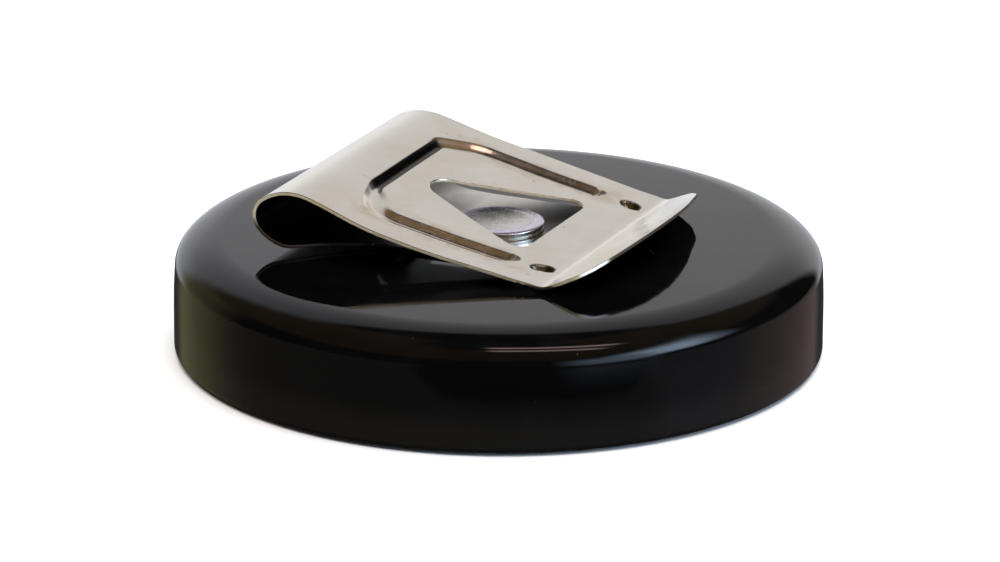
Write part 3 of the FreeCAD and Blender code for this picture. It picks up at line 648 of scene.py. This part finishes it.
def press(u, v):
    """How far the strip is pressed in at a point of the flat blank (positive goes inwards)."""
    x = np.interp(u, UP_U, UP_X)
    x = np.where(u < PU[MID], -99.0, x)
    p = np.c_[x, v]
    best = np.full(len(x), 1e9)
    along = np.zeros(len(x))
    total = 0.0
    marks = [0.0]
    for a, b in zip(GROOVE[:-1], GROOVE[1:]):
        d, t = seg_dist(p, a, b)
        along = np.where(d < best, total + t, along)
        best = np.minimum(best, d)
        total += math.dist(a, b)
        marks.append(total)
    within = inside(GROOVE, p)
    # the channel is narrow and sharp across the loop side, wide along the sides
    cross = smooth01((along - 15.6) / 3.4) * smooth01((34.0 - along) / 1.2)
    w_in = 1.12 + (0.62 - 1.12) * cross
    w_out = 1.55 + (0.95 - 1.55) * cross
    w = w_in + (w_out - w_in) * np.where(within, 0.0, smooth01(best / 0.35))
    q = best / w
    # blunt, slightly pointed ends
    end = np.where(v < 0, 5.7, 5.0)
    past = np.clip(x - end, 0, None)
    vc = np.where(v < 0, -10.75 + 0.10 * past, 11.1 - 0.10 * past)
    q_end = np.sqrt((past / 1.2) ** 2 + (np.abs(v - vc) / 1.2) ** 2)
    q = np.where(x > end, q_end, q)
    q = np.where(x >= 7.4, 9.0, q)
    prof = np.where(q < 1, 0.5 + 0.5 * np.cos(np.pi * np.clip(q, 0, 1) ** 1.35), 0.0)
    depth = GROOVE_D * prof
    # two oval pits near the lip
    for px, py, lean in PITS:
        ex, ey = (x - px) / 1.36, (v - py - lean * (x - px)) / 0.86
        q = np.sqrt(ex ** 2 + ey ** 2)
        depth = depth + 0.60 * np.where(q < 1, 0.5 + 0.5 * np.cos(np.pi * np.clip(q, 0, 1) ** 1.7), 0.0)
    # one small knock on the lip, and a shallow swell round the channel on the loop side
    swell = np.where(x > -90, np.exp(-((x + 12.6) / 1.1) ** 2) * smooth01((v + 11.5) / 3.0) * smooth01((12.0 - v) / 3.0), 0.0)
    depth = depth - 0.035 * swell
    q = np.hypot((x - 14.1) / 0.9, v - 4.4) / 0.75
    depth = depth + 0.10 * np.where(q < 1, 0.5 + 0.5 * np.cos(np.pi * np.clip(q, 0, 1)), 0.0)
    return depth


def on_strip(u, v, t):
    """Points in space for points (u, v) of the blank, at a height t off the middle of the sheet."""
    c = np.c_[np.interp(u, PU, PQ[:, 0]), np.interp(u, PU, PQ[:, 1])]
    n = np.c_[np.interp(u, PU, PN[:, 0]), np.interp(u, PU, PN[:, 1])]
    n /= np.linalg.norm(n, axis=1)[:, None]
    h = t - press(u, v)
    q = c + n * h[:, None]
    return np.c_[q[:, 0], v, q[:, 1]]


def resample(loop, step):
    """Points along a closed loop at nearly even spacing, keeping its corners close."""
    p = np.array(loop + [loop[0]], float)
    s = np.r_[0, np.cumsum(np.linalg.norm(np.diff(p, axis=0), axis=1))]
    n = max(8, int(round(s[-1] / step)))
    t = np.linspace(0, s[-1], n, endpoint=False)
    return np.c_[np.interp(t, s, p[:, 0]), np.interp(t, s, p[:, 1])]


def loop_normals(p):
    d = np.roll(p, -1, 0) - np.roll(p, 1, 0)
    d /= np.linalg.norm(d, axis=1)[:, None]
    return np.c_[d[:, 1], -d[:, 0]]


def inside(poly, pts):
    """Even-odd test for many points."""
    x, y = pts[:, 0], pts[:, 1]
    res = np.zeros(len(pts), bool)
    n = len(poly)
    for i in range(n):
        x0, y0 = poly[i]
        x1, y1 = poly[(i + 1) % n]
        if y0 == y1:
            continue
        c = (y > min(y0, y1)) & (y <= max(y0, y1))
        res ^= c & (x < x0 + (y - y0) / (y1 - y0) * (x1 - x0))
    return res


def make_clip():
    EDGE = 0.11
    hw = 15.9
    uc = u_up(11.4)
    half = [
        (0.0, 8.2, 1.2), (1.6, 9.8, 1.2), (u_lo(-8.7), 9.8, 5.0), (u_lo(-13.2), 12.7, 3.0), (u_lo(-15.7), 15.12, 2.2),
    ]
    half += [(u_up(x), y, 0.0) for x, y in ((-14.6, 15.13), (-13.0, 15.22), (-11.5, 15.35), (-10.0, 15.5), (-8.2, 15.69), (-6.2, 15.84),
                                           (-4.2, 15.91), (-2.2, 15.92), (0.0, 15.84), (2.2, 15.71), (4.4, 15.55), (6.6, 15.4), (8.8, 15.28), (10.6, 15.18))]
    half += [(uc, 15.1, 0.8), (u_up(13.2), 14.95, 2.0), (u_up(14.75), 14.55, 1.6), (u_up(15.95), 13.15, 2.2), (u_up(16.75), 10.2, 4.0),
             (u_up(17.25), 7.4, 5.0), (u_up(17.62), 4.2, 6.0), (U_END, 1.2, 6.0)]
    cutoff = len(half) - 7
    other = half[:cutoff] + [(u_up(13.0), 14.95, 2.0), (u_up(14.5), 14.45, 1.6), (u_up(15.65), 12.9, 2.4), (u_up(16.35), 10.0, 4.0),
                             (u_up(17.0), 7.4, 5.0), (u_up(17.5), 4.2, 6.0), (U_END, 1.2, 6.0)]
    pts = [(u, -v) for u, v, r in half] + [(u, v) for u, v, r in other[::-1]]
    radii = [r for u, v, r in half] + [r for u, v, r in other[::-1]]
    outline = resample(rounded(pts, radii, 14), 0.16)
    win = rounded([(-10.16, 0.0), (6.1, -8.52), (6.1, 8.52)], [2.49, 1.38, 1.38], 18)
    win = [(u_up(x), y) for x, y in win]
    window = resample(win, 0.14)
    window = window[::-1]                                  # clockwise, so that its outside points into the hole
    hole = resample([(u_lo(1.55 * math.cos(a)), 1.55 * math.sin(a)) for a in np.linspace(0, 2 * math.pi, 64, endpoint=False)], 0.14)
    area = lambda q: 0.5 * float(np.sum(q[:, 0] * np.roll(q[:, 1], -1) - np.roll(q[:, 0], -1) * q[:, 1]))
    if area(outline) < 0:
        outline = outline[::-1]
    if area(window) > 0:
        window = window[::-1]
    if area(hole) > 0:
        hole = hole[::-1]
    loops = [outline, window, hole]
    insets = [q - loop_normals(q) * EDGE for q in loops]
    # inner points: a fine grid on the pressed features, a coarser one elsewhere
    gu, gv = np.meshgrid(np.arange(0.2, U_END, 0.14), np.arange(-hw, hw + 0.1, 0.14), indexing="ij")
    fine = np.c_[gu.ravel(), gv.ravel()]
    x = np.where(fine[:, 0] < PU[MID], -99.0, np.interp(fine[:, 0], UP_U, UP_X))
    av = np.abs(fine[:, 1])
    near_groove = (x > -12.6) & (x < 7.4) & (((av > 9.2) & (av < 13.2)) | (x < -8.9) | ((x < -5.0) & (av > 4.5)))
    near_pit = (np.abs(x - 9.4) < 1.7) & (np.abs(av - 10.8) < 1.3)
    near_crease = (x > 11.0) & (x < 12.9)
    near_dent = (np.hypot(x - 14.1, fine[:, 1] - 4.4) < 1.1)
    fine = fine[near_groove | near_pit | near_dent | near_crease]
    gu, gv = np.meshgrid(np.arange(0.25, U_END, 0.30), np.arange(-hw, hw + 0.1, 0.42), indexing="ij")
    coarse = np.c_[gu.ravel(), gv.ravel()]
    key = {(round(a / 0.42), round(b / 0.42)) for a, b in fine}
    coarse = coarse[[(round(a / 0.42), round(b / 0.42)) not in key for a, b in coarse]]
    grid = np.vstack([fine, coarse])
    ok = inside(insets[0], grid) & ~inside(insets[1], grid) & ~inside(insets[2], grid)
    grid = grid[ok]
    rim = np.vstack(insets)
    # drop grid points that crowd the rim
    cell = {}
    for i, (a, b) in enumerate(rim):
        cell.setdefault((int(a / 0.1), int(b / 0.1)), []).append(i)
    clear = []
    for i, (a, b) in enumerate(grid):
        ia, ib = int(a / 0.1), int(b / 0.1)
        bad = False
        for da in (-1, 0, 1):
            for db in (-1, 0, 1):
                if (ia + da, ib + db) in cell:
                    bad = True
        if not bad:
            clear.append(i)
    grid = grid[clear]
    pts2 = [Vector(p) for p in rim] + [Vector(p) for p in grid]
    edges = []
    start = 0
    for q in insets:
        k = len(q)
        edges += [(start + i, start + (i + 1) % k) for i in range(k)]
        start += k
    cv, ce, cf, ov, oe, of_ = delaunay_2d_cdt(pts2, edges, [], 0, 1e-6, True)
    flat = np.array([tuple(v) for v in cv])
    back_to = [(o[0] if o else -1) for o in ov]
    tri = [tuple(f) for f in cf]
    cen = np.array([flat[list(f)].mean(0) for f in tri])
    keep = inside(insets[0], cen) & ~inside(insets[1], cen) & ~inside(insets[2], cen)
    tri = [t for t, k in zip(tri, keep) if k]
    # orient every triangle anticlockwise in the blank
    fixed = []
    for a, b, c in tri:
        A, B, C = flat[a], flat[b], flat[c]
        cr = (B[0] - A[0]) * (C[1] - A[1]) - (B[1] - A[1]) * (C[0] - A[0])
        if abs(cr) < 1e-10:
            continue
        fixed.append((a, b, c) if cr > 0 else (a, c, b))
    used = sorted({i for t in fixed for i in t})
    remap = {o: i for i, o in enumerate(used)}
    flat = flat[used]
    tri = [tuple(remap[i] for i in t) for t in fixed]
    rim_of = {}
    for new, old in enumerate(used):
        if back_to[old] >= 0 and back_to[old] < len(rim):
            rim_of[back_to[old]] = new
    nflat = len(flat)

    def surface(uv, side):
        u, v = uv[:, 0], uv[:, 1]
        t = np.full(len(u), side * T / 2)
        p = on_strip(u, v, t)
        e = 0.02
        du = on_strip(u + e, v, t) - on_strip(u - e, v, t)
        dv = on_strip(u, v + e, t) - on_strip(u, v - e, t)
        n = np.cross(du, dv)
        n /= np.linalg.norm(n, axis=1)[:, None]
        # for travel along u with v to the left, the sheet's outer side
        c = np.c_[np.interp(u, PU, PN[:, 0]), np.zeros(len(u)), np.interp(u, PU, PN[:, 1])]
        sgn = np.sign((n * c).sum(1))[:, None] * side
        return p, n * sgn

    top_p, top_n = surface(flat, 1.0)
    bot_p, bot_n = surface(flat, -1.0)
    verts = [top_p, bot_p]
    norms = [top_n, bot_n]
    uparam = [flat[:, 0], flat[:, 0]]
    # which way round gives an outward face on the outer side
    a, b, c = tri[len(tri) // 2]
    fn = np.cross(top_p[b] - top_p[a], top_p[c] - top_p[a])
    outer_ccw = float(fn @ top_n[a]) > 0
    faces, kinds = [], []
    for a, b, c in tri:
        faces.append((a, b, c) if outer_ccw else (a, c, b))
        faces.append((a + nflat, c + nflat, b + nflat) if outer_ccw else (a + nflat, b + nflat, c + nflat))
        kinds += [0, 1]
    base = 2 * nflat
    start = 0
    # rounded cut edges: rows from the outer side, over the edge, to the inner side
    rows = []
    r_e = EDGE
    for ang in (22.5, 45.0, 67.5, 90.0):
        a = math.radians(ang)
        rows.append((EDGE - r_e + r_e * math.sin(a), T / 2 - r_e + r_e * math.cos(a), math.sin(a), math.cos(a)))
    rows += [(EDGE, -r[1], r[2], -r[3]) if i == 0 else (r[0], -r[1], r[2], -r[3]) for i, r in enumerate(rows[::-1])]
    for q0, q in zip(loops, insets):
        k = len(q)
        n2 = -loop_normals(q0) * -1.0
        idx = [rim_of[start + i] for i in range(k)]
        prev = idx
        for row, (off, t, wn, wt) in enumerate(rows):
            uv = q + n2 * off
            u, v = uv[:, 0], uv[:, 1]
            p = on_strip(u, v, np.full(k, t))
            _, outer = surface(uv, 1.0)
            e = 0.02
            tu = on_strip(u + e, v, np.full(k, t)) - on_strip(u - e, v, np.full(k, t))
            tv = on_strip(u, v + e, np.full(k, t)) - on_strip(u, v - e, np.full(k, t))
            tu /= np.linalg.norm(tu, axis=1)[:, None]
            tv /= np.linalg.norm(tv, axis=1)[:, None]
            side = tu * n2[:, :1] + tv * n2[:, 1:]
            side -= outer * (side * outer).sum(1)[:, None]
            side /= np.linalg.norm(side, axis=1)[:, None]
            nn = side * wn + outer * wt
            nn /= np.linalg.norm(nn, axis=1)[:, None]
            cur = list(range(base, base + k))
            base += k
            verts.append(p); norms.append(nn); uparam.append(u)
            for i in range(k):
                j = (i + 1) % k
                f = (prev[i], cur[i], cur[j], prev[j])
                faces.append(f if outer_ccw else f[::-1])
                kinds.append(0 if row < 3 else 2)
            prev = cur
        last = [i + nflat for i in idx]
        for i in range(k):
            j = (i + 1) % k
            f = (prev[i], last[i], last[j], prev[j])
            faces.append(f if outer_ccw else f[::-1])
            kinds.append(1)
        start += k
    V = np.vstack(verts); N = np.vstack(norms); U = np.concatenate(uparam)
    ob = mesh_object("belt_clip", V, faces, "clip", N)
    ob.data.materials.append(MAT["clip_inner"])
    ob.data.materials.append(MAT["clip_edge"])
    ob.data.polygons.foreach_set("material_index", np.array(kinds, np.int32))
    return ob, U


clip, clip_u = make_clip()
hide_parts("clip_base_leaf", "clip_spring_arm")
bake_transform(clip)

case = make_case()

# ------------------------------------------------------------------ rivet stack
head = [(0.0, 12.905), (2.6, 12.912), (3.2, 12.93), (3.42, 12.975), (4.2, 12.985), (4.44, 12.86), (4.44, 12.45),
        (1.5, 12.45), (1.5, 8.55), (2.6, 8.55), (2.6, 7.9), (0.0, 7.9)]
turned_piece("clip_rivet_formed", head, [0, 0.8, 0.12, 0.1, 0.12, 0.12, 0.1, 0.05, 0.05, 0.05, 0.2, 0], "rivet", "clip_rivet", steps=160)
turned_piece("rivet_washer_flat", [(1.6, 12.12), (4.44, 12.12), (4.44, 12.43), (1.6, 12.43)], [0.05, 0.1, 0.1, 0.05], "washer", "rivet_washer", steps=160)

# ------------------------------------------------------------------ CAD nodes that keep their shape
KEEP = {
    "bottom_cover": "cover", "grip_ring": "rubber", "tag_nest_liner": "liner", "cover_screws": "screw", "flux_cup": "iron",
    "ring_magnet": "magnet", "core_magnet": "magnet", "spacer_ring": "brass", "magnet_carrier": "natural", "foam_pad": "foam",
    "rivet_bush": "brass", "backing_washer": "washer", "spring_washer": "spring", "friction_washer": "fibre",
}
for node, mat in KEEP.items():
    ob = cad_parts[node]
    if len(ob.material_slots) == 0:
        ob.data.materials.append(MAT[mat])
    for s in ob.material_slots:
        s.material = MAT[mat]


# ------------------------------------------------------------------ floor, light and surroundings
def make_floor():
    me = bpy.data.meshes.new("studio_floor")
    s = 3.0
    me.from_pydata([(-s, -s, -0.00005), (s, -s, -0.00005), (s, s, -0.00005), (-s, s, -0.00005)], [], [(0, 1, 2, 3)])
    m, n, p, co = material("studio_floor")
    cloud = n.noise(co, 3.0, 2.0, 0.5)
    n.link(n.mix(cloud, rgb(0.90, 0.90, 0.90), rgb(0.92, 0.92, 0.92)), p.inputs["Base Color"])
    p.inputs["Roughness"].default_value = 0.95
    p.inputs["Specular IOR Level"].default_value = 0.0
    me.materials.append(m)
    ob = bpy.data.objects.new("studio_floor", me)
    scene.collection.objects.link(ob)
    ob.visible_glossy = False
    return ob


make_floor()


def softbox(name, direction, dist, size, energy, colour=(1, 1, 1), glossy=True, height=None, target=TARGET):
    d = Vector(direction).normalized()
    light = bpy.data.lights.new(name, "AREA")
    light.shape = "RECTANGLE"
    light.size = size
    light.size_y = height or size
    light.energy = energy
    light.color = colour
    ob = bpy.data.objects.new(name, light)
    scene.collection.objects.link(ob)
    ob.location = target + d * dist
    ob.rotation_euler = (-d).to_track_quat("-Z", "Y").to_euler()
    ob.visible_glossy = glossy
    return ob


softbox("overhead_softbox", (0.0, 0.05, 1.0), 1.5, 2.4, 62.0, glossy=False)


def make_world():
    w = bpy.data.worlds.new("studio_world")
    scene.world = w
    w.use_nodes = True
    n = Nodes(w.node_tree)
    out = n.add("ShaderNodeOutputWorld")
    bg = n.add("ShaderNodeBackground")
    n.link(bg.outputs[0], out.inputs["Surface"])
    d = n.add("ShaderNodeTexCoord").outputs["Generated"]
    z = n.dot(d, (0, 0, 1))
    ang = n.math("ARCTAN2", n.dot(d, tuple(SIDE_H)), n.dot(d, tuple(BACK_H)))     # bearing, 0 at the far side, positive to the right
    # the far side: one broad pale backdrop, brightest near the horizon
    band = n.math("MULTIPLY", n.ramp(z, -0.30, -0.14), n.ramp(z, 0.77, 0.84, 1.0, 0.0))
    wide = n.math("MULTIPLY", n.ramp(ang, 0.47, 0.62, 1.0, 0.0), n.ramp(ang, -0.78, -0.50))
    fade = n.math("MULTIPLY", n.ramp(z, 0.16, 0.44, 1.0, 0.66), n.ramp(z, 0.5, 0.8, 1.0, 0.88))
    tone = n.mix(n.ramp(ang, -0.5, 0.4), rgb(0.88, 0.89, 0.95), rgb(0.92, 0.895, 0.90))
    tone = n.mix(n.ramp(z, -0.1, 0.12, 1.0, 0.0), tone, rgb(0.86, 0.92, 1.0))
    tone = n.mix(fade, rgb(0.0, 0.0, 0.0), tone)
    # the near side and overhead: a dim room, brown ceiling, darker just past the backdrop's right edge
    away = n.math("ABSOLUTE", ang)
    edge = n.math("ADD", z, n.math("MULTIPLY", n.math("MULTIPLY", n.ramp(ang, -2.85, -2.50), n.ramp(ang, 2.05, 2.40, 1.0, 0.0)), -0.14))
    room = n.mix(n.ramp(edge, -0.334, -0.30), rgb(0.12, 0.112, 0.10), rgb(0.022, 0.021, 0.020))
    room = n.mix(n.math("MULTIPLY", n.ramp(z, 0.42, 0.58), n.ramp(away, 0.45, 0.65)), room, rgb(0.150, 0.100, 0.046))
    room = n.mix(n.ramp(z, 0.955, 0.985), room, rgb(0.045, 0.040, 0.036))
    left = n.math("MULTIPLY", n.ramp(ang, -1.5, -0.9), n.ramp(ang, -0.5, -0.3, 1.0, 0.0))
    room = n.mix(n.math("MULTIPLY", left, n.ramp(z, 0.35, 0.6, 1.0, 0.0)), room, rgb(0.32, 0.29, 0.16))
    right = n.math("MULTIPLY", n.ramp(ang, 0.35, 0.55), n.ramp(ang, 1.3, 1.7, 1.0, 0.0))
    room = n.mix(n.math("MULTIPLY", n.math("MULTIPLY", right, n.ramp(z, -0.12, 0.04)), n.ramp(z, 0.45, 0.6, 1.0, 0.0)), room, rgb(0.010, 0.010, 0.011))
    room = n.mix(n.math("MULTIPLY", right, n.ramp(z, -0.12, 0.0, 1.0, 0.0)), room, rgb(0.30, 0.235, 0.22))
    side = n.math("MULTIPLY", n.ramp(ang, 1.3, 1.7), n.ramp(ang, 2.0, 2.3, 1.0, 0.0))
    room = n.mix(n.math("MULTIPLY", side, n.ramp(z, -0.28, -0.15, 1.0, 0.0)), room, rgb(0.20, 0.19, 0.22))
    # directly behind and under the horizon: the far floor, in shade
    under = n.math("MULTIPLY", n.ramp(z, -0.30, -0.14, 1.0, 0.0), n.math("MULTIPLY", n.ramp(ang, -0.6, -0.3), n.ramp(ang, 0.3, 0.6, 1.0, 0.0)))
    room = n.mix(under, room, rgb(0.05, 0.048, 0.045))
    col = n.mix(n.math("MULTIPLY", band, wide), room, tone)
    # a bright window to the right, with its dimmer sill lower and farther round
    slope = n.math("ADD", z, n.ramp(ang, 1.45, 2.60, -0.26, 0.08, smooth=False))
    pane = n.math("MULTIPLY", n.math("MULTIPLY", n.ramp(ang, 1.45, 1.70), n.ramp(ang, 2.15, 2.60, 1.0, 0.0)),
                  n.math("MULTIPLY", n.ramp(slope, -0.16, 0.12), n.ramp(slope, 0.30, 0.60, 1.0, 0.0)))
    col = n.mix(n.math("MULTIPLY", pane, n.ramp(ang, 1.60, 1.95, 0.30, 1.0)), col, rgb(4.6, 6.0, 7.8))
    glow = n.math("MULTIPLY", n.math("MULTIPLY", n.ramp(ang, 2.05, 2.35), n.ramp(ang, 2.55, 2.85, 1.0, 0.0)),
                  n.math("MULTIPLY", n.ramp(z, -0.30, 0.02), n.ramp(z, 0.20, 0.50, 1.0, 0.0)))
    col = n.mix(n.math("MULTIPLY", glow, 0.9), col, rgb(1.5, 1.9, 2.5))
    # two thin warm tubes almost overhead
    flat_side, flat_back = n.dot(d, tuple(SIDE_H)), n.dot(d, tuple(BACK_H))
    for centre in (-0.08, -0.25):
        tube = n.math("MULTIPLY", n.ramp(n.math("ABSOLUTE", n.math("ADD", flat_back, -centre)), 0.030, 0.050, 1.0, 0.0),
                      n.math("MULTIPLY", n.ramp(flat_side, -0.06, 0.0), n.ramp(flat_side, 0.36, 0.46, 1.0, 0.0)))
        col = n.mix(n.math("MULTIPLY", tube, n.ramp(z, 0.6, 0.7)), col, rgb(4.6, 3.3, 3.1))
    col = n.mix(n.ramp(z, -0.75, -0.42, 1.0, 0.0), col, rgb(0.012, 0.011, 0.010))
    n.link(col, bg.inputs["Color"])
    bg.inputs["Strength"].default_value = 1.0


make_world()
